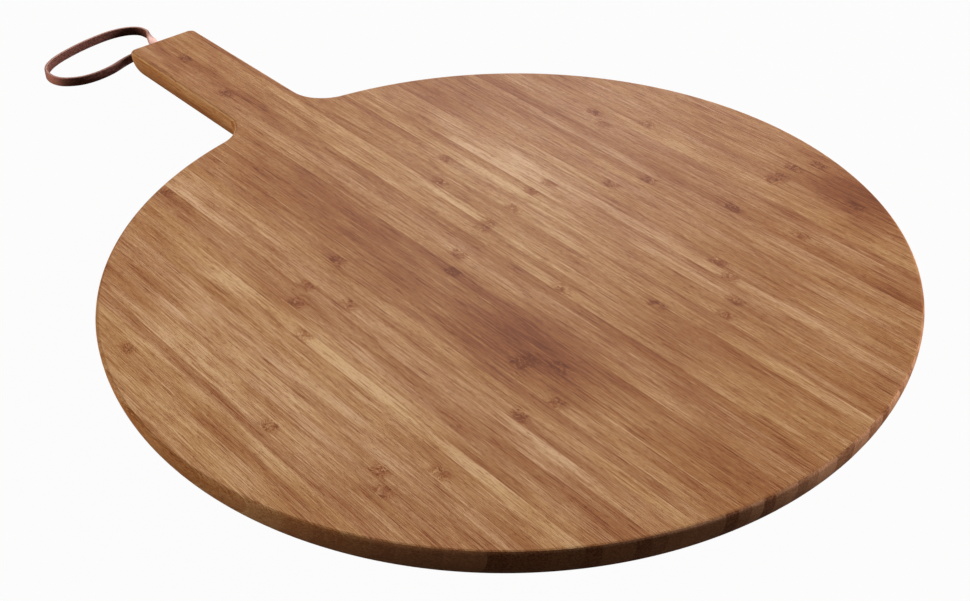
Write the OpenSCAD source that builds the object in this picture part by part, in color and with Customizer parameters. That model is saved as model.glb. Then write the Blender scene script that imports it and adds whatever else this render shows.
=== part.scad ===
// Round bamboo serving board with a straight handle and a leather hanging loop.
// The panel is glued up from strips that run along the handle.
// Origin: centre of the disc on the bottom face. +Y along the handle, +Z up.

/* [Board] */
// Diameter of the round serving face
disc_d = 360; // [240:1:420]
// Thickness of the panel
board_t = 18; // [14:0.5:24]
// Distance from the disc's centre to the end of the handle
handle_reach = 300; // [240:1:340]
// Width of the handle
handle_w = 41.8; // [34:0.2:56]
// Radius of the fillet between the handle and the disc
neck_r = 20.5; // [8:0.5:30]
// Plan radius of the two corners at the handle's end
corner_r = 4; // [2:0.5:8]

/* [Edge] */
// Radius of the small round along the top edge
arris_r = 1.5; // [0.5:0.1:2.5]
// Height of the upright wall below that round
wall_h = 0.5; // [0.2:0.1:3]
// Radius of the long round that undercuts the edge
under_r = 20; // [8:0.5:40]

/* [Strips] */
// Width of one bamboo strip, from seam to seam
strip_w = 5.4; // [4:0.1:8]
// Distance of the middle seam from the centreline
seam_x = 0.6; // [0.2:0.1:2]

/* [Lace] */
// Width of the leather lace
lace_w = 5; // [4:0.1:6]
// Thickness of the leather lace
lace_t = 2; // [1.2:0.1:2.4]
// Gap between the lace's corners and the wall of the hole in the handle's end
bore_gap = 0.15; // [0.05:0.05:0.5]
// Depth of that hole
bore_depth = 25; // [15:1:40]
// Gap between the lace's fixed ends and the loop that swings
swing_gap = 0.5; // [0.3:0.1:0.8]

/* [Hidden] */
$fn = 72;
disc_fn = 360;
// The small round along the top edge is worked in flats, this many to a full turn
arris_fn = 12;
overrun = 1;
disc_r = disc_d / 2;
handle_half = handle_w / 2;

// Height at which the long round leaves the upright wall
under_z = min(board_t - arris_r - wall_h, under_r);
// How far the long round draws the bottom face in from the edge
under_in = under_r - sqrt(max(under_r * under_r - under_z * under_z, 0));

// Centre of the neck fillet, and the points where it meets the handle and the disc
neck_x = handle_half + neck_r;
neck_y = sqrt((disc_r + neck_r) * (disc_r + neck_r) - neck_x * neck_x);
neck_centre = [neck_x, neck_y];
neck_on_disc = neck_centre * disc_r / (disc_r + neck_r);

// Strips on one side of the middle seam: the outermost takes in what is left towards the rim
// where that is less than half a strip
function strip_count(side) = round((disc_r - side * seam_x) / strip_w);
most_n = max(strip_count(-1), strip_count(1));
// All the strips together have this many nodes at most: those near the middle have one each, and
// the outer ones share one with their opposite number
strip_nodes = 58;
own_n = min(most_n, strip_nodes - most_n);

// The two ends lie one over the other in the hole, with glue between them
glue_gap = 0.2;
end_step = lace_t + glue_gap;
bore_r = norm([lace_w / 2, lace_t + glue_gap / 2]) + bore_gap;
bore_z = board_t / 2;
// The loop's root is rounded about the hinge line, in steps at these angles
root_r = lace_t + glue_gap / 2;
root_leans = [20, 40, 65];
// How far the fixed ends stand out of the handle, and the hinge line beyond them
stub_out = 0.7;
hinge_out = stub_out + swing_gap + root_r;
lace_chamfer = 0.4;

function two_digits(i) = i < 10 ? str("0", i) : str(i);
function strip_name(side, i) = str(side < 0 ? "left" : "right", "_strip_", two_digits(i));
function pair_name(i) = str("edge_pair_", two_digits(i));

// Strips are counted outwards from the middle seam, on side -1 to the left and on side 1 to the right
function seam(side, i) = seam_x + side * i * strip_w;
function strip_inner(side, i) = seam(side, i - 1);
function strip_outer(side, i) = i == strip_count(side) ? side * (disc_r + overrun) : seam(side, i);

// Route of the loop: across and out from the hole's mouth, height above the table, and how far
// the lace's outer face has turned from facing up, through facing out, to facing down
lace_route = [
    [0, hinge_out, bore_z + end_step / 2, 0],
    [0, 8, 10.5, 0],
    [2, 14, 10.5, 8],
    [4.5, 20, 9, 22],
    [7, 26, 7.5, 42],
    [9.5, 32, 5.5, 64],
    [11.5, 38, 3.5, 82],
    [12.4, 42.5, 2.5, 90],
    [11.6, 47, 2.5, 90],
    [8.9, 50.7, 2.5, 90],
    [4.6, 53.4, 2.5, 90],
    [-1, 55, 2.5, 90],
    [-7, 55.5, 2.5, 90],
    [-14, 55, 2.5, 90],
    [-21, 54, 2.5, 90],
    [-28, 52.5, 2.5, 90],
    [-35, 50.5, 2.5, 90],
    [-42, 48, 2.5, 90],
    [-48.5, 44.5, 2.5, 90],
    [-53.5, 40, 2.5, 90],
    [-56.5, 34, 2.5, 90],
    [-57, 27.5, 2.5, 90],
    [-55, 21.5, 2.5, 90],
    [-50.5, 17, 2.5, 90],
    [-44.5, 14, 2.5, 90],
    [-37.5, 13, 2.5, 90],
    [-30.5, 13.5, 2.5, 90],
    [-24, 15, 2.5, 90],
    [-17.5, 17.5, 2.5, 92],
    [-11.5, 18.5, 3, 98],
    [-6, 17.5, 4, 110],
    [-2.5, 14.5, 5.5, 130],
    [-0.5, 11, 6.5, 155],
    [0, 7.5, 7.6, 175],
    [0, hinge_out, bore_z - end_step / 2, 180],
];

// Waste under the edge: right of the long round, for an outline at x = 0 with the board to its left
module under_waste() {
    difference() {
        translate([-under_r, -overrun]) square([under_r + overrun, under_z + overrun]);
        translate([-under_r, under_z]) circle(under_r);
    }
}

// Waste over the small round at the top of the same edge
module arris_waste() {
    difference() {
        translate([-arris_r, board_t - arris_r]) square(arris_r + overrun);
        translate([-arris_r, board_t - arris_r]) circle(arris_r, $fn = arris_fn);
    }
}

// Section of the board's edge, reaching a given depth inwards from the outline
module edge_section(depth) {
    difference() {
        translate([-depth, 0]) square([depth, board_t]);
        under_waste();
        arris_waste();
    }
}

// Round part of the board, swept from the right side by way of the handle
module disc(sweep = 360) {
    rotate_extrude(angle = sweep, $fn = disc_fn) translate([disc_r, 0]) edge_section(disc_r);
}

// Length of the handle less its two corners, and the corners, each with the edge section swept round it
module handle_end() {
    translate([-handle_half, 0, 0]) cube([handle_w, handle_reach - corner_r, board_t]);
    translate([corner_r - handle_half, 0, 0]) cube([handle_w - 2 * corner_r, handle_reach, board_t]);
    for (side = [-1, 1])
        translate([side * (handle_half - corner_r), handle_reach - corner_r, 0])
        rotate_extrude()
        translate([corner_r, 0]) edge_section(corner_r);
}

// Handle from the neck to its end, with the edge section along both sides, the end and the corners
module handle() {
    intersection() {
        translate([0, neck_y, 0])
            rotate([90, 0, 0])
            mirror([0, 0, 1])
            linear_extrude(handle_reach - neck_y)
            intersection() {
                translate([handle_half, 0]) edge_section(handle_w);
                mirror([1, 0]) translate([handle_half, 0]) edge_section(handle_w);
            }
        translate([-handle_half, 0, 0])
            rotate([90, 0, 90])
            linear_extrude(handle_w)
            translate([handle_reach, 0]) edge_section(handle_reach);
        handle_end();
    }
}

// Middle of the board from the disc's centre to the handle, hollowed on both sides to the fillet
module neck() {
    difference() {
        translate([-neck_x, -overrun, 0]) cube([2 * neck_x, neck_y + overrun, board_t]);
        for (side = [-1, 1])
            translate([side * neck_x, neck_y, 0])
            rotate_extrude()
            union() {
                translate([0, -overrun]) square([neck_r, board_t + 2 * overrun]);
                translate([neck_r, 0]) mirror([1, 0]) {
                    under_waste();
                    arris_waste();
                }
            }
    }
}

// Hole for the lace in the handle's end
module lace_hole() {
    translate([0, handle_reach + overrun, bore_z])
        rotate([90, 0, 0])
        cylinder(r = bore_r, h = bore_depth + overrun);
}

// Space that one strip takes up, cut from a board as long as this one
module strip_slab(side, i) {
    inner = strip_inner(side, i);
    outer = strip_outer(side, i);
    translate([min(inner, outer), -disc_r - overrun, -overrun])
        cube([abs(outer - inner), disc_r + handle_reach + 2 * overrun, board_t + 2 * overrun]);
}

// One strip of the panel: it ends at the disc's rim, or runs up through the neck into the handle
module strip(side, i) {
    inner = strip_inner(side, i);
    outer = strip_outer(side, i);
    in_neck = abs(inner + outer) / 2 < neck_on_disc.x;
    in_handle = side * inner < handle_half;
    in_hole = side * inner < bore_r;
    color("peru") difference() {
        intersection() {
            union() {
                if (in_neck) {
                    rotate([0, 0, 180]) disc(sweep = 180);
                    neck();
                }
                else disc();
                if (in_handle) handle();
            }
            strip_slab(side, i);
        }
        if (in_hole) lace_hole();
    }
}

// Two strips near the rim, as far from the middle on the left as on the right
module edge_pair(i) {
    for (side = [-1, 1])
        if (i <= strip_count(side)) strip(side, i);
}

// The lace's two ends, one over the other in the hole
module lace_ends() {
    color("saddlebrown")
        for (side = [-1, 1])
        translate([-lace_w / 2, handle_reach - bore_depth, bore_z + (side * end_step - lace_t) / 2])
        cube([lace_w, bore_depth + stub_out, lace_t]);
}

// Section of the lace at a given thickness: a flat strip with its long edges eased
function lace_section(thick) =
    let (w = lace_w / 2, t = thick / 2, c = min(lace_chamfer, t / 2))
    [[w, c - t], [w, t - c], [w - c, t], [c - w, t], [-w, t - c], [-w, c - t], [c - w, -t], [w - c, -t]];

function unit(v) = v / norm(v);

// One ring of the lace at a point, its outer face turned about the heading
function lace_ring(point, heading, turn, thick) =
    let (
        right = unit(cross(heading, [0, 0, 1])),
        up = cross(right, heading),
        face = cos(turn) * up + sin(turn) * right,
        across = cross(face, heading)
    )
    [for (p = lace_section(thick)) point + p.x * across + p.y * face];

// Ring of the route, which heads from the point before to the point after
function route_point(i) = [lace_route[i].x, lace_route[i].y, lace_route[i].z];
function route_ring(i) =
    let (last = len(lace_route) - 1)
    lace_ring(
        route_point(i), unit(route_point(min(i + 1, last)) - route_point(max(i - 1, 0))),
        lace_route[i][3], lace_t
    );

// Ring of the rounded root, above the hinge line for side 1 and below it for side -1
function root_ring(side, lean) =
    let (low = glue_gap / 2, thick = root_r * sin(lean) - low)
    lace_ring(
        [0, hinge_out - root_r * cos(lean), bore_z + side * (low + thick / 2)],
        [0, side, 0], side > 0 ? 0 : 180, thick
    );

// The free loop, swept along its route from its upper root to its lower one
module lace_loop() {
    steps = len(root_leans);
    rings = concat(
        [for (lean = root_leans) root_ring(1, lean)],
        [for (i = [0 : len(lace_route) - 1]) route_ring(i)],
        [for (k = [steps - 1 : -1 : 0]) root_ring(-1, root_leans[k])]
    );
    sides = len(rings[0]);
    last = len(rings) - 1;
    faces = concat(
        [[for (k = [0 : sides - 1]) k]],
        [for (r = [0 : last - 1], k = [0 : sides - 1], half = [0, 1])
            let (n = (k + 1) % sides, low = r * sides, high = low + sides)
            half == 0 ? [low + k, high + k, high + n] : [low + k, high + n, low + n]],
        [[for (k = [sides - 1 : -1 : 0]) last * sides + k]]
    );
    color("saddlebrown")
        translate([0, handle_reach, 0])
        polyhedron([for (ring = rings) each ring], faces);
}

for (side = [-1, 1], i = [1 : 1 : min(own_n, strip_count(side))])
    strip(side, i);
for (i = [own_n + 1 : 1 : most_n])
    edge_pair(i);
lace_ends();
lace_loop();
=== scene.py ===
import math

import bpy
from mathutils import Matrix, Vector


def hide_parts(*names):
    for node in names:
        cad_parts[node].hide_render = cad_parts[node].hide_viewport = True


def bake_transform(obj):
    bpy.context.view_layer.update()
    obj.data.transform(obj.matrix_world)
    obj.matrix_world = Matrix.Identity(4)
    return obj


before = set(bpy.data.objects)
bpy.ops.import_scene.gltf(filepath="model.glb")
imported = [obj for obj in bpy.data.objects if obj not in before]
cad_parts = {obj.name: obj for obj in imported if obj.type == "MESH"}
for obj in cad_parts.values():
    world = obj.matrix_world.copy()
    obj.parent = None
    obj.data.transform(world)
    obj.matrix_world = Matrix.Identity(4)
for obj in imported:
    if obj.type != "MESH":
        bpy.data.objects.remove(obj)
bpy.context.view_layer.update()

scene = bpy.context.scene
scene.view_settings.view_transform = "Standard"


# Camera
# The board is seen from its front left and from above, with the handle going away to the upper
# left. The lens is given for a picture 970 pixels wide and 601 high.
view_turn = math.radians(-39.603)
view_height = math.radians(35.902)
view_roll = math.radians(-1.450)
view_distance = 0.64212
view_target = Vector((-0.027247, -0.016574, 0.018))
picture_width = 970
focal_pixels = 1500
sensor = 36
nearest_seen = 0.01

looking = (
    Matrix.Rotation(view_turn, 4, "Z")
    @ Matrix.Rotation(math.pi / 2 - view_height, 4, "X")
    @ Matrix.Rotation(view_roll, 4, "Z")
)
eye = view_target + looking @ Vector((0, 0, view_distance))
camera = bpy.data.objects.new("camera", bpy.data.cameras.new("camera"))
camera.matrix_world = Matrix.Translation(eye) @ looking
camera.data.sensor_fit = "HORIZONTAL"
camera.data.sensor_width = sensor
camera.data.lens = sensor * focal_pixels / picture_width
camera.data.clip_start = nearest_seen
scene.collection.objects.link(camera)
scene.camera = camera


# Lace
# One flat strip of dark brown leather, cut from a hide, with a smooth outer face, a rough inner
# face and paler cut edges. Its ends are fixed in a hole in the end of the handle, one over the
# other, and its loop lies on edge. Its outer face has a painted sheen by the handle and at the far
# bend.
lace_width = 0.005
lace_thick = 0.002
lace_edge_round = 0.0004
lace_step = 0.0015
handle_end = 0.300
hole_height = 0.009
hole_reach = 0.025
hole_halfway = 0.012
# How far the middle of each end lies above or below the middle of the hole
end_offset = 0.0011
# Points of the loop: across and out from the end of the handle, height, and turn of the outer face
# in degrees, from up by way of outwards to down
lace_route = [
    (0, 0.0033, 0.0101, 0),
    (0, 0.008, 0.0105, 0),
    (0.002, 0.014, 0.0105, 8),
    (0.0045, 0.020, 0.009, 22),
    (0.007, 0.026, 0.0075, 42),
    (0.0095, 0.032, 0.0055, 64),
    (0.0115, 0.038, 0.0035, 82),
    (0.0124, 0.0425, 0.0025, 90),
    (0.0116, 0.047, 0.0025, 90),
    (0.0089, 0.0507, 0.0025, 90),
    (0.0046, 0.0534, 0.0025, 90),
    (-0.001, 0.055, 0.0025, 90),
    (-0.007, 0.0555, 0.0025, 90),
    (-0.014, 0.055, 0.0025, 90),
    (-0.021, 0.054, 0.0025, 90),
    (-0.028, 0.0525, 0.0025, 90),
    (-0.035, 0.0505, 0.0025, 90),
    (-0.042, 0.048, 0.0025, 90),
    (-0.0485, 0.0445, 0.0025, 90),
    (-0.0535, 0.040, 0.0025, 90),
    (-0.0565, 0.034, 0.0025, 90),
    (-0.057, 0.0275, 0.0025, 90),
    (-0.055, 0.0215, 0.0025, 90),
    (-0.0505, 0.017, 0.0025, 90),
    (-0.0445, 0.014, 0.0025, 90),
    (-0.0375, 0.013, 0.0025, 90),
    (-0.0305, 0.0135, 0.0025, 90),
    (-0.024, 0.015, 0.0025, 90),
    (-0.0175, 0.0175, 0.0025, 92),
    (-0.0115, 0.0185, 0.003, 98),
    (-0.006, 0.0175, 0.004, 110),
    (-0.0025, 0.0145, 0.0055, 130),
    (-0.0005, 0.011, 0.0065, 155),
    (0, 0.0075, 0.0076, 175),
    (0, 0.0033, 0.0079, 180),
]


class Shade:
    """An output in a material: arithmetic on it adds Math nodes."""

    def __init__(self, tree, socket):
        self.tree = tree
        self.socket = socket

    def add(self, kind, settings=None, inputs=None, out=0):
        """Adds a node, with its settings and then its inputs, and gives one of its outputs."""
        node = self.tree.nodes.new(kind)
        for name, value in (settings or {}).items():
            if name == "stops":
                ramp = node.color_ramp.elements
                while len(ramp) < len(value):
                    ramp.new(1)
                for element, (position, colour) in zip(ramp, value):
                    element.position = position
                    element.color = colour
            else:
                setattr(node, name, value)
        for name, value in (inputs or {}).items():
            if isinstance(value, Shade):
                self.tree.links.new(value.socket, node.inputs[name])
            else:
                node.inputs[name].default_value = value
        return Shade(self.tree, node.outputs[out])

    def other(self, out):
        """Another output of the same node."""
        return Shade(self.tree, self.socket.node.outputs[out])

    def math(self, operation, first, second=0.0, third=0.0):
        inputs = {0: first, 1: second, 2: third}
        return self.add("ShaderNodeMath", {"operation": operation}, inputs)

    def __add__(self, other):
        return self.math("ADD", self, other)

    __radd__ = __add__

    def __sub__(self, other):
        return self.math("SUBTRACT", self, other)

    def __rsub__(self, other):
        return self.math("SUBTRACT", other, self)

    def __mul__(self, other):
        return self.math("MULTIPLY", self, other)

    __rmul__ = __mul__

    def __truediv__(self, other):
        return self.math("DIVIDE", self, other)

    def __abs__(self):
        return self.math("ABSOLUTE", self)

    def rise(self, low, high):
        """0 up to low, 1 from high, and a smooth step between; low may be the larger."""
        return self.add(
            "ShaderNodeMapRange", {"interpolation_type": "SMOOTHSTEP"},
            {"Value": self, "From Min": low, "From Max": high},
        )

    def within(self, start, full, fading, end):
        """1 from full to fading, 0 up to start and from end, and smooth steps between."""
        return self.rise(start, full) * self.rise(end, fading)

    def between(self, first, second):
        """A colour between two, by this share."""
        return self.add("ShaderNodeMix", {"data_type": "RGBA"}, {0: self, 6: first, 7: second}, 2)

    def part(self, axis):
        """One coordinate of a place."""
        return self.add("ShaderNodeSeparateXYZ", None, {0: self}, axis)

    def stretched(self, scale):
        """A place with its three coordinates multiplied."""
        return self.add("ShaderNodeVectorMath", {"operation": "MULTIPLY"}, {0: self, 1: scale})

    def figure(self, fineness, detail, roughness, distortion=0.0):
        """Soft noise about 0.5, with so many patches to a unit across, along and up."""
        return self.add("ShaderNodeTexNoise", None, {
            "Vector": self.stretched(fineness), "Scale": 1.0, "Detail": detail,
            "Roughness": roughness, "Distortion": distortion,
        })


def new_finish(name, start, settings, out):
    """A new material: its shader, and the first output to work from."""
    material = bpy.data.materials.new(name)
    material.use_nodes = True
    tree = material.node_tree
    first = Shade(tree, None).add(start, settings, None, out)
    return material, tree.nodes["Principled BSDF"], first


def screen_colour(red, green, blue):
    """A colour as it shows on screen, from 0 to 255, in the shader's own scale."""
    def linear(v):
        v = v / 255
        return v / 12.92 if v <= 0.04045 else ((v + 0.055) / 1.055) ** 2.4
    return (linear(red), linear(green), linear(blue), 1.0)


def wire(shader, **inputs):
    """Joins what varies over a surface to the shader, and sets what doesn't."""
    tree = shader.id_data
    for name, value in inputs.items():
        socket = shader.inputs[name.replace("_", " ")]
        if isinstance(value, Shade):
            tree.links.new(value.socket, socket)
        else:
            socket.default_value = value


# The strip is swept along the route. Each point of it keeps its place in the strip: across, through
# the thickness with the outer face below zero, and along
lace_tree = bpy.data.node_groups.new("lace_strip", "GeometryNodeTree")
lace_tree.is_modifier = True
for name, kind in (
    ("Geometry", "NodeSocketGeometry"), ("Width", "NodeSocketFloat"),
    ("Thickness", "NodeSocketFloat"), ("Edge round", "NodeSocketFloat"),
    ("Step", "NodeSocketFloat"), ("Leather", "NodeSocketMaterial"),
):
    lace_tree.interface.new_socket(name, in_out="INPUT", socket_type=kind)
lace_tree.interface.new_socket("Geometry", in_out="OUTPUT", socket_type="NodeSocketGeometry")


def tree_node(tree, kind, settings=None, inputs=None):
    """A node in a geometry tree, with its settings and then its inputs."""
    node = tree.nodes.new(kind)
    for name, value in (settings or {}).items():
        setattr(node, name, value)
    for name, value in (inputs or {}).items():
        if isinstance(value, bpy.types.NodeSocket):
            tree.links.new(value, node.inputs[name])
        else:
            node.inputs[name].default_value = value
    return node


given = tree_node(lace_tree, "NodeGroupInput").outputs
turn = tree_node(lace_tree, "GeometryNodeInputNamedAttribute", {"data_type": "FLOAT"},
                 {"Name": "turn"})
route = tree_node(lace_tree, "GeometryNodeMeshToCurve", None, {"Mesh": given["Geometry"]})
route = tree_node(lace_tree, "GeometryNodeSetCurveTilt", None,
                  {"Curve": route.outputs["Curve"], "Tilt": turn.outputs[0]})
route = tree_node(lace_tree, "GeometryNodeCurveSplineType", {"spline_type": "CATMULL_ROM"},
                  {"Curve": route.outputs["Curve"]})
route = tree_node(lace_tree, "GeometryNodeResampleCurve", {"mode": "LENGTH"},
                  {"Curve": route.outputs["Curve"], "Length": given["Step"]})
route = tree_node(lace_tree, "GeometryNodeSetCurveNormal", {"mode": "Z_UP"},
                  {"Curve": route.outputs["Curve"]})
along = tree_node(lace_tree, "GeometryNodeSplineParameter")
route = tree_node(lace_tree, "GeometryNodeStoreNamedAttribute",
                  {"data_type": "FLOAT", "domain": "POINT"},
                  {"Geometry": route.outputs["Curve"], "Name": "along",
                   "Value": along.outputs["Length"]})
section = tree_node(lace_tree, "GeometryNodeCurvePrimitiveQuadrilateral", {"mode": "RECTANGLE"},
                    {"Width": given["Width"], "Height": given["Thickness"]})
section = tree_node(lace_tree, "GeometryNodeFilletCurve", {"mode": "POLY"},
                    {"Curve": section.outputs["Curve"], "Radius": given["Edge round"], "Count": 2})
place = tree_node(lace_tree, "GeometryNodeInputPosition")
section = tree_node(lace_tree, "GeometryNodeStoreNamedAttribute",
                    {"data_type": "FLOAT_VECTOR", "domain": "POINT"},
                    {"Geometry": section.outputs["Curve"], "Name": "section",
                     "Value": place.outputs[0]})
strip = tree_node(lace_tree, "GeometryNodeCurveToMesh", None,
                  {"Curve": route.outputs["Geometry"],
                   "Profile Curve": section.outputs["Geometry"], "Fill Caps": True})
strip = tree_node(lace_tree, "GeometryNodeSetShadeSmooth", None,
                  {"Geometry": strip.outputs["Mesh"]})
strip = tree_node(lace_tree, "GeometryNodeRealizeInstances", None,
                  {"Geometry": strip.outputs["Geometry"]})
strip = tree_node(lace_tree, "GeometryNodeSetMaterial", None,
                  {"Geometry": strip.outputs["Geometry"], "Material": given["Leather"]})
tree_node(lace_tree, "NodeGroupOutput", None, {"Geometry": strip.outputs["Geometry"]})

mm_per_m = 1000
# Distances in mm from the middle of the thickness where an edge gives way to a face
edge_fades, face_full = 0.35, 0.8
# Figure: patches to the mm across, along and through, then detail and roughness
crease_figure = ((0.9, 0.35, 1), 4, 0.6)
pore_figure = ((4, 2.5, 4), 3, 0.6)
nap_figure = ((2.2, 1.3, 2.2), 5, 0.7)
# Dark and light ends of each figure, and the colours that they stand for
crease_ends = (0.3, 0.72)
pore_ends = (0.3, 0.7)
nap_ends = (0.36, 0.66)
grain_colours = (screen_colour(80, 52, 47), screen_colour(142, 93, 84))
flesh_colours = (screen_colour(38, 20, 16), screen_colour(124, 79, 68))
edge_colours = (screen_colour(124, 80, 68), screen_colour(214, 164, 148))
# Stretches of the outer face with a painted sheen, in mm along the strip, and their colours
root_sheen_stretch = (23, 29, 42, 58)
root_sheen_share, root_sheen_by_crease = 0.75, 0.4
root_sheen_colour = screen_colour(226, 178, 166)
bend_sheen_stretch = (152, 160, 168, 178)
bend_sheen_share = 0.6
bend_sheen_colour = screen_colour(196, 134, 120)
leather_roughness, grain_polish, crease_matt = 0.72, 0.34, 0.25
pore_height = 0.5
leather_bump_strength, leather_bump_height = 0.5, 0.0002
leather_specular = 0.15
leather_tint = screen_colour(255, 222, 212)

leather, leather_shader, strip_place = new_finish(
    "leather", "ShaderNodeAttribute", {"attribute_name": "section"}, "Vector"
)
run = strip_place.add("ShaderNodeAttribute", {"attribute_name": "along"}, None, "Fac") * mm_per_m
lace_across = strip_place.part(0) * mm_per_m
lace_depth = strip_place.part(1) * mm_per_m
hide = strip_place.add("ShaderNodeCombineXYZ", None, {0: lace_across, 1: run, 2: lace_depth})
grain_side = lace_depth.rise(-edge_fades, -face_full)
flesh_side = lace_depth.rise(edge_fades, face_full)
creases = hide.figure(*crease_figure)
pores = hide.figure(*pore_figure)
nap = hide.figure(*nap_figure)
# Painted sheen on the outer face, by the handle and at the far bend, mixed into its colour below
painted_root_sheen = run.within(*root_sheen_stretch) * (root_sheen_share + creases * root_sheen_by_crease)
painted_bend_sheen = run.within(*bend_sheen_stretch) * bend_sheen_share
grain_colour = creases.rise(*crease_ends).between(*grain_colours)
grain_colour = painted_root_sheen.between(grain_colour, root_sheen_colour)
grain_colour = painted_bend_sheen.between(grain_colour, bend_sheen_colour)
flesh_colour = nap.rise(*nap_ends).between(*flesh_colours)
edge_colour = pores.rise(*pore_ends).between(*edge_colours)
leather_colour = flesh_side.between(grain_side.between(edge_colour, grain_colour), flesh_colour)
leather_bump = strip_place.add("ShaderNodeBump", None, {
    "Height": pores * pore_height + nap * (1 - grain_side),
    "Strength": leather_bump_strength, "Distance": leather_bump_height,
})
wire(
    leather_shader, Base_Color=leather_colour, Normal=leather_bump,
    Roughness=leather_roughness - grain_side * (grain_polish - creases * crease_matt),
    Specular_IOR_Level=leather_specular, Specular_Tint=leather_tint,
)


def end_in_hole(side, degrees):
    """The points of one end in the hole, from its tip outwards: above the middle, or below it."""
    height = hole_height + side * end_offset
    return [(0, handle_end - depth, height, degrees) for depth in (hole_reach, hole_halfway)]


lace_points = (
    end_in_hole(1, 0)
    + [(x, handle_end + y, z, degrees) for x, y, z, degrees in lace_route]
    + end_in_hole(-1, 180)[::-1]
)
lace_line = bpy.data.meshes.new("lace")
lace_line.from_pydata(
    [p[:3] for p in lace_points], [(i, i + 1) for i in range(len(lace_points) - 1)], []
)
lace_line.attributes.new("turn", "FLOAT", "POINT").data.foreach_set(
    "value", [math.radians(p[3]) for p in lace_points]
)
lace = bpy.data.objects.new("lace", lace_line)
scene.collection.objects.link(lace)


def made_by_tree(obj, tree, values):
    """Runs a geometry tree on an object with named inputs, and keeps the result as its mesh."""
    step = obj.modifiers.new(tree.name, "NODES")
    step.node_group = tree
    for item in tree.interface.items_tree:
        if item.in_out == "INPUT" and item.name in values:
            step[item.identifier] = values[item.name]
    bpy.context.view_layer.update()
    evaluated = obj.evaluated_get(bpy.context.evaluated_depsgraph_get())
    mesh = bpy.data.meshes.new_from_object(evaluated)
    obj.modifiers.remove(step)
    obj.data = mesh
    return mesh


lace_mesh = made_by_tree(lace, lace_tree, {
    "Width": lace_width, "Thickness": lace_thick, "Edge round": lace_edge_round, "Step": lace_step,
    "Leather": leather,
})
# The strip's section has three points at each of its four corners
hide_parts("lace_loop", "lace_ends")
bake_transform(lace)


# Bamboo strips
# Narrow strips of steamed, caramel brown bamboo, on edge and glued side by side, then sawn to the
# outline, rounded over and oiled. Each strip comes from another cane: it has its own tone, its own
# fibres along the handle's direction, and here and there the knotty mark of a joint of the cane.
strip_width = 5.4
middle_seam = 0.6
# Joints of the canes: strip, counted from the middle seam, and mm from the disc's centre
cane_joints = {
    -30: 57, -27: -24, -25: -82, -24: -72, -21: -88, -19: 15, -17: 36, -16: 153, -15: 44, -14: 20,
    -13: -84, -11: 50, -10: -87, -9: -59, -8: -60, -7: -72, -5: 9, -3: 18, -2: 219, -1: 270,
    0: -32, 1: 28, 2: 29, 3: 72, 4: -68, 5: 30, 6: 86, 7: -92, 8: 36, 9: -88, 10: 36, 11: -75,
    12: -64, 14: 15, 17: 6, 19: -39, 20: -74, 21: 60, 22: 72, 24: 44, 25: -34, 26: -35, 27: -75,
    28: -34, 30: -40,
}
no_joint = -1000.0
# Strips that stand out: strip, and how much lighter or darker it is
odd_strips = {
    -22: 0.08, -19: 0.12, -16: -0.12, -15: 0.08, -14: 0.12, -12: 0.14, -3: 0.18, -1: -0.12,
    0: 0.06, 2: 0.1, 5: 0.08, 6: -0.1, 9: 0.06, 11: 0.08, 19: -0.12, 21: 0.08, 23: 0.14,
}
odd_share, odd_by_drift = 0.4, 0.8
# Broad patches of darker or lighter tone: centre and half sizes in mm, change of tone
tone_and_sheen_patches = [
    (-35, 75, 17, 110, -0.22), (-35, -55, 22, 40, -0.45), (-38, -160, 20, 30, -0.14),
    (158, -72, 18, 42, -0.5), (112, -132, 18, 26, -0.12), (15, -95, 45, 25, -0.08),
    # The pale patch at (55, 45) is partly paler canes and partly painted sheen
    (55, 45, 30, 75, 0.18), (-125, 15, 50, 85, 0.22), (-90, -95, 45, 40, 0.07),
    (-80, 115, 32, 42, 0.06), (112, 50, 12, 50, -0.04), (132, 20, 14, 60, 0.05),
    (-62, 130, 10, 40, 0.08), (14, 0, 8, 25, 0.1), (0, 250, 30, 75, -0.13),
    (0, 205, 28, 36, -0.06), (95, 135, 45, 40, -0.12), (70, -135, 40, 30, 0.06),
]
patch_end, patch_core = 1.5, 0.1
patch_share, patch_by_mottle = 0.55, 0.9
# Figure: patches to the mm across, along and up, then detail, roughness and any distortion
fibre_figure = ((3.0, 0.04, 2.2), 3, 0.65)
vessel_figure = ((4.6, 0.065, 3.6), 2, 0.6)
pit_figure = ((5.5, 0.3, 4.5), 2, 0.6)
hair_figure = ((1.3, 0.02, 1.0), 2, 0.5)
break_figure = ((0.7, 0.05, 0.6), 2, 0.5)
streak_figure = ((0.55, 0.012, 0.4), 2, 0.5)
mottle_figure = ((0.2, 0.026, 0.1), 2, 0.5)
drift_figure = ((0.03, 0.014, 0.0), 1, 0.5)
curl_figure = ((0.45, 0.3, 0.45), 2, 0.5)
knot_figure = ((0.5, 0.36, 0.5), 4, 0.7, 1.2)
dot_figure = ((1.5, 0.15, 1.5), 3, 0.6)
# The middle of every figure, and of every draw
middle = 0.5
# Draws, one for each thing that chance settles for a strip
tone_draw, length_draw, line_draw, pink_draw, end_draw = 0.5, 31.5, 9.5, 55.5, 77.5
# Tone goes from 0, the darkest wood, to 1, the palest: the usual one, and what moves it how far
usual_tone = 0.617
strip_depth, length_depth = 0.11, 0.22
streak_depth, mottle_depth, drift_depth, fibre_depth = 0.2, 0.5, 0.5, 0.66
hair_depth, line_depth, seam_depth = 0.36, 0.14, 0.06
# The last of these lifts the painted highlight on the handle's upper edges
knot_depth, joint_depth, highlight_depth = 0.54, 0.04, 0.34
wood_tones = [
    (0.0, screen_colour(108, 56, 28)), (0.25, screen_colour(143, 84, 47)),
    (0.5, screen_colour(163, 110, 66)), (0.75, screen_colour(184, 137, 89)),
    (1.0, screen_colour(213, 173, 125)),
]

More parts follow.
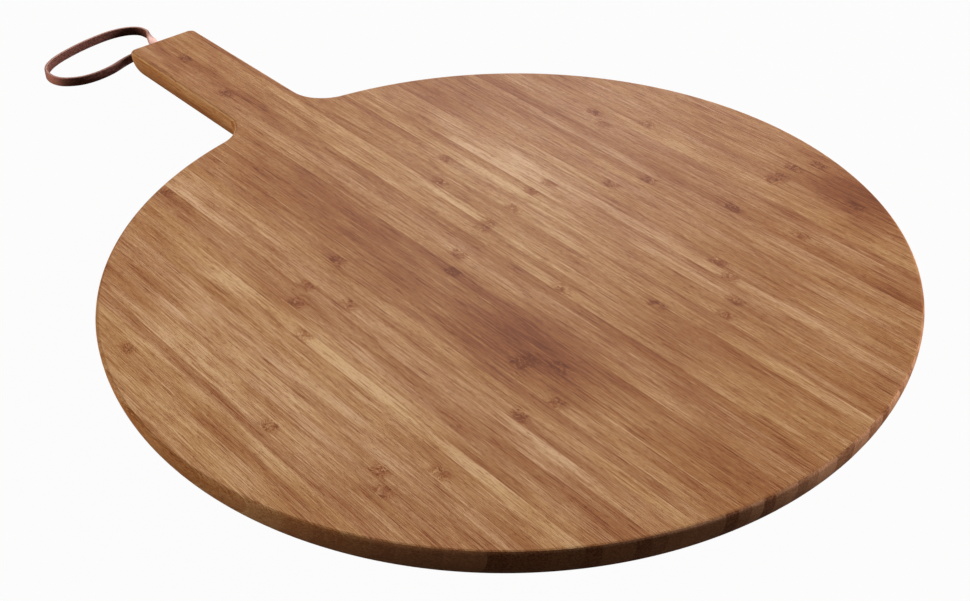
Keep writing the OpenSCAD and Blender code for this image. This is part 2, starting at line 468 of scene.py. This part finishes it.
bamboo, bamboo_shader, board_place = new_finish("bamboo", "ShaderNodeTexCoord", None, "Object")
board_mm = board_place.stretched((mm_per_m, mm_per_m, mm_per_m))
x_mm, y_mm, z_mm = board_mm.part(0), board_mm.part(1), board_mm.part(2)
strip_at = (x_mm - middle_seam) / strip_width
strip_number = strip_at.math("FLOOR", strip_at)
across = strip_at - strip_number


def strip_chance(draw):
    """A random share for each strip."""
    return strip_number.add(
        "ShaderNodeTexWhiteNoise", {"noise_dimensions": "1D"}, {"W": strip_number + draw}
    )


def strip_table(values, otherwise):
    """A number for each strip from a table, and another for the strips that aren't in it."""
    total = otherwise
    half_a_strip = 0.5
    for number, value in values.items():
        here = strip_number.math("COMPARE", strip_number, number, half_a_strip)
        total = here.math("MULTIPLY_ADD", here, value - otherwise, total)
    return total


# At a joint of the cane the fibres swell and curl, and the tone changes from one length to the next
joint_half_length, joint_core, length_change = 7, 1, 3
past_joint = y_mm - strip_table(cane_joints, no_joint)
at_joint = abs(past_joint).rise(joint_half_length, joint_core)
next_length = past_joint.rise(-length_change, length_change) - middle
curl = board_mm.figure(*curl_figure) - middle

# Fibres run along the strip, each strip takes them from another place, and a joint bends them
strip_shift_across, strip_shift_along, joint_bend = 13.7, 91.3, 6
hair_half_width = 0.06
break_ends = (0.42, 0.62)
cane = board_place.add("ShaderNodeCombineXYZ", None, {
    0: x_mm + strip_number * strip_shift_across + at_joint * curl * joint_bend,
    1: y_mm + strip_number * strip_shift_along,
    2: z_mm,
})
fibres = cane.figure(*fibre_figure)
vessels = cane.figure(*vessel_figure)
pits = cane.figure(*pit_figure)
hairs = abs(cane.figure(*hair_figure) - middle).rise(hair_half_width, 0)
broken = cane.figure(*break_figure).rise(*break_ends)
streaks = cane.figure(*streak_figure)
mottle = cane.figure(*mottle_figure)
drift = cane.figure(*drift_figure)

# The patches are added to the tone, the painted sheen among them
patch = 0.0
for centre_x, centre_y, half_x, half_y, change in tone_and_sheen_patches:
    offset = board_mm.add("ShaderNodeVectorMath", {"operation": "MULTIPLY_ADD"}, {
        0: board_mm, 1: (1 / half_x, 1 / half_y, 0), 2: (-centre_x / half_x, -centre_y / half_y, 0),
    })
    away = offset.add("ShaderNodeVectorMath", {"operation": "LENGTH"}, {0: offset}, "Value")
    patch = patch + away.rise(patch_end, patch_core) * change
patch = patch * (patch_share + mottle * patch_by_mottle)

# A joint shows as dark lines and spots
knot_line_ends, knot_line_share = (0.07, 0.01), 0.5
knot_spot_ends, knot_spot_share = (0.5, 0.6), 0.8
knots = cane.figure(*knot_figure)
knot_lines = abs(knots - middle).rise(*knot_line_ends) * knot_line_share
knot_spots = knots.rise(*knot_spot_ends) * knot_spot_share
joint_dark = at_joint * (knot_lines + knot_spots)

# The upper edges of the handle, from the neck on, are painted paler: a painted highlight
highlight_slopes = (0.3, 0.55, 0.9, 0.98)
neck_ends = (150, 172)
facing = board_place.add("ShaderNodeNewGeometry", None, None, "Normal")
arris_highlight = facing.part(2).within(*highlight_slopes) * y_mm.rise(*neck_ends)

# Short dark dashes and pale glints, from a figure each: where it begins, where it is full, and
# depth. Some strips have a pale line along one seam
lined_strips = (0.72, 0.8)
line_ends = (0.14, 0.02)
seam_width = 0.04
dashes = hairs * broken * hair_depth
for figure, begins, full, depth in (
    (fibres, 0.42, 0.26, 0.2), (vessels, 0.43, 0.26, 0.6), (pits, 0.42, 0.27, 0.96),
):
    dashes = dashes + figure.rise(begins, full) * depth
glints = strip_chance(line_draw).rise(*lined_strips) * across.rise(*line_ends) * line_depth
for figure, begins, full, depth in (
    (fibres, 0.6, 0.75, 0.24), (vessels, 0.58, 0.74, 0.26), (pits, 0.58, 0.73, 0.32),
):
    glints = glints + figure.rise(begins, full) * depth
seam = (across.rise(seam_width, 0) + across.rise(1 - seam_width, 1)) * seam_depth

tone = (
    usual_tone + (strip_chance(tone_draw) - middle) * strip_depth
    + next_length * (strip_chance(length_draw) - middle) * length_depth
    + strip_table(odd_strips, 0.0) * (odd_share + drift * odd_by_drift)
    + (streaks - middle) * streak_depth + (mottle - middle) * mottle_depth
    + (drift - middle) * drift_depth + (fibres - middle) * fibre_depth + patch
    - dashes + glints - seam - joint_dark * knot_depth - at_joint * joint_depth
    # The painted highlight on the handle's upper edges
    + arris_highlight * highlight_depth
)
wood_colour = tone.add("ShaderNodeValToRGB", {"stops": wood_tones}, {0: tone})

# Some canes are pinker, and the right of the disc is tinted the same way as a painted sheen
pink = (0.98, 0.96, 1.16, 1.0)
pink_strips, pink_strip_share = (0.4, 0.9), 0.4
pink_mottle, pink_mottle_share = (0.42, 0.65), 0.3
sheen_tint_across, sheen_tint_along, sheen_tint_share = (-45, 80), (-60, -15, 70, 150), 0.36
pink_canes_and_sheen = (
    strip_chance(pink_draw).rise(*pink_strips) * pink_strip_share
    + mottle.rise(*pink_mottle) * pink_mottle_share
    # The painted sheen over the right of the disc
    + x_mm.rise(*sheen_tint_across) * y_mm.within(*sheen_tint_along) * sheen_tint_share
)
wood_colour = tone.add(
    "ShaderNodeMix", {"data_type": "RGBA", "blend_type": "MULTIPLY"},
    {0: pink_canes_and_sheen, 6: wood_colour, 7: pink}, 2,
)

# Where the outline is sawn across the strips their end grain shows: dark, with the fibres as dots
end_slopes, end_share = (0.1, 0.75), 0.85
dot_ends = (0.35, 0.7)
end_by_strip, end_by_dots = 0.6, 0.4
end_colours = (screen_colour(88, 36, 16), screen_colour(212, 157, 120))
end_grain = abs(facing.part(1)).rise(*end_slopes)
dots = cane.figure(*dot_figure).rise(*dot_ends)
end_colour = (strip_chance(end_draw) * end_by_strip + dots * end_by_dots).between(*end_colours)
# The end grain is kept off the painted highlight on the handle's upper edges
board_colour = (end_grain * end_share * (1 - arris_highlight)).between(wood_colour, end_colour)

# The oiled surface follows the fibres a little, and is duller on the end grain
vessel_height, seam_height, knot_height = 0.6, 3, 0.5
board_bump_strength, board_bump_height = 0.4, 0.0002
board_roughness, vessel_roughness, end_roughness = 0.46, 0.25, 0.12
board_specular = 0.07
board_bump = board_place.add("ShaderNodeBump", None, {
    "Height": fibres + vessels * vessel_height - seam * seam_height - joint_dark * knot_height,
    "Strength": board_bump_strength, "Distance": board_bump_height,
})
wire(
    bamboo_shader, Base_Color=board_colour, Normal=board_bump, Specular_IOR_Level=board_specular,
    Roughness=board_roughness + (vessels - middle) * vessel_roughness + end_grain * end_roughness,
)

for name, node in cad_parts.items():
    if name.startswith(("left_strip", "right_strip", "edge_pair")):
        node.data.materials.clear()
        node.data.materials.append(bamboo)


# Table, lamps and background
# A plain pale table that reads as white. The main lamp stands far off at the right, a weak warm one
# low at the left, and one behind, whose sheen lies across the far half of the board. None stands in
# front, so the near rim stays dark.
table_half = 20.0
table_drop = 0.0002
table_colour = (0.15, 0.125, 0.1, 1)
table_white, table_white_in_gloss = 0.97, 0.05
backdrop_colour = (1, 0.84, 0.68, 1)
backdrop_strength = 0.07
# Lamp, place, size, power, colour, and whether it shows as glare in gloss
lamps = [
    ("lamp_left", (-1.8, 1.75, 0.5), 0.9, 52, (1, 0.86, 0.71), False),
    ("lamp_right", (4.1, -1.1, 1.3), 1.4, 398, (0.95, 0.965, 1), False),
    ("lamp_behind", (0.9, 0.95, 0.78), 0.5, 8.2, (0.8, 0.92, 1), True),
]


def white_to_camera(plain, share, gloss_share):
    """Shows white to the eye and in gloss, each by a share, and plain to all other light."""
    seen = plain.add("ShaderNodeLightPath", None, None, "Is Camera Ray")
    in_gloss = seen.math(
        "MAXIMUM", seen.other("Is Glossy Ray"), seen.other("Is Transmission Ray")
    )
    white = plain.add("ShaderNodeEmission")
    return plain.add("ShaderNodeMixShader", None, {
        0: seen * share + in_gloss * gloss_share, 1: plain, 2: white,
    })


table_mesh = bpy.data.meshes.new("table")
table_mesh.from_pydata(
    [(-table_half, -table_half, 0), (table_half, -table_half, 0), (table_half, table_half, 0),
     (-table_half, table_half, 0)], [], [(0, 1, 2, 3)],
)
table = bpy.data.objects.new("table", table_mesh)
table.location.z = -table_drop
scene.collection.objects.link(table)
table_finish = bpy.data.materials.new("table")
table_finish.use_nodes = True
table_tree = table_finish.node_tree
table_tree.nodes.remove(table_tree.nodes["Principled BSDF"])
matt = Shade(table_tree, None).add("ShaderNodeBsdfDiffuse", None, {"Color": table_colour})
table_tree.links.new(
    white_to_camera(matt, table_white, table_white_in_gloss).socket,
    table_tree.nodes["Material Output"].inputs["Surface"],
)
table_mesh.materials.append(table_finish)

world = bpy.data.worlds.new("studio")
scene.world = world
world.use_nodes = True
world_tree = world.node_tree
backdrop = world_tree.nodes["Background"]
backdrop.inputs["Color"].default_value = backdrop_colour
backdrop.inputs["Strength"].default_value = backdrop_strength
world_tree.links.new(
    white_to_camera(Shade(world_tree, backdrop.outputs[0]), 1, 1).socket,
    world_tree.nodes["World Output"].inputs["Surface"],
)

for name, spot, size, power, colour, glare in lamps:
    lamp = bpy.data.lights.new(name, "AREA")
    lamp.shape = "SQUARE"
    lamp.size = size
    lamp.energy = power
    lamp.color = colour
    holder = bpy.data.objects.new(name, lamp)
    holder.location = spot
    holder.rotation_euler = (-Vector(spot)).to_track_quat("-Z", "Y").to_euler()
    holder.visible_glossy = glare
    scene.collection.objects.link(holder)
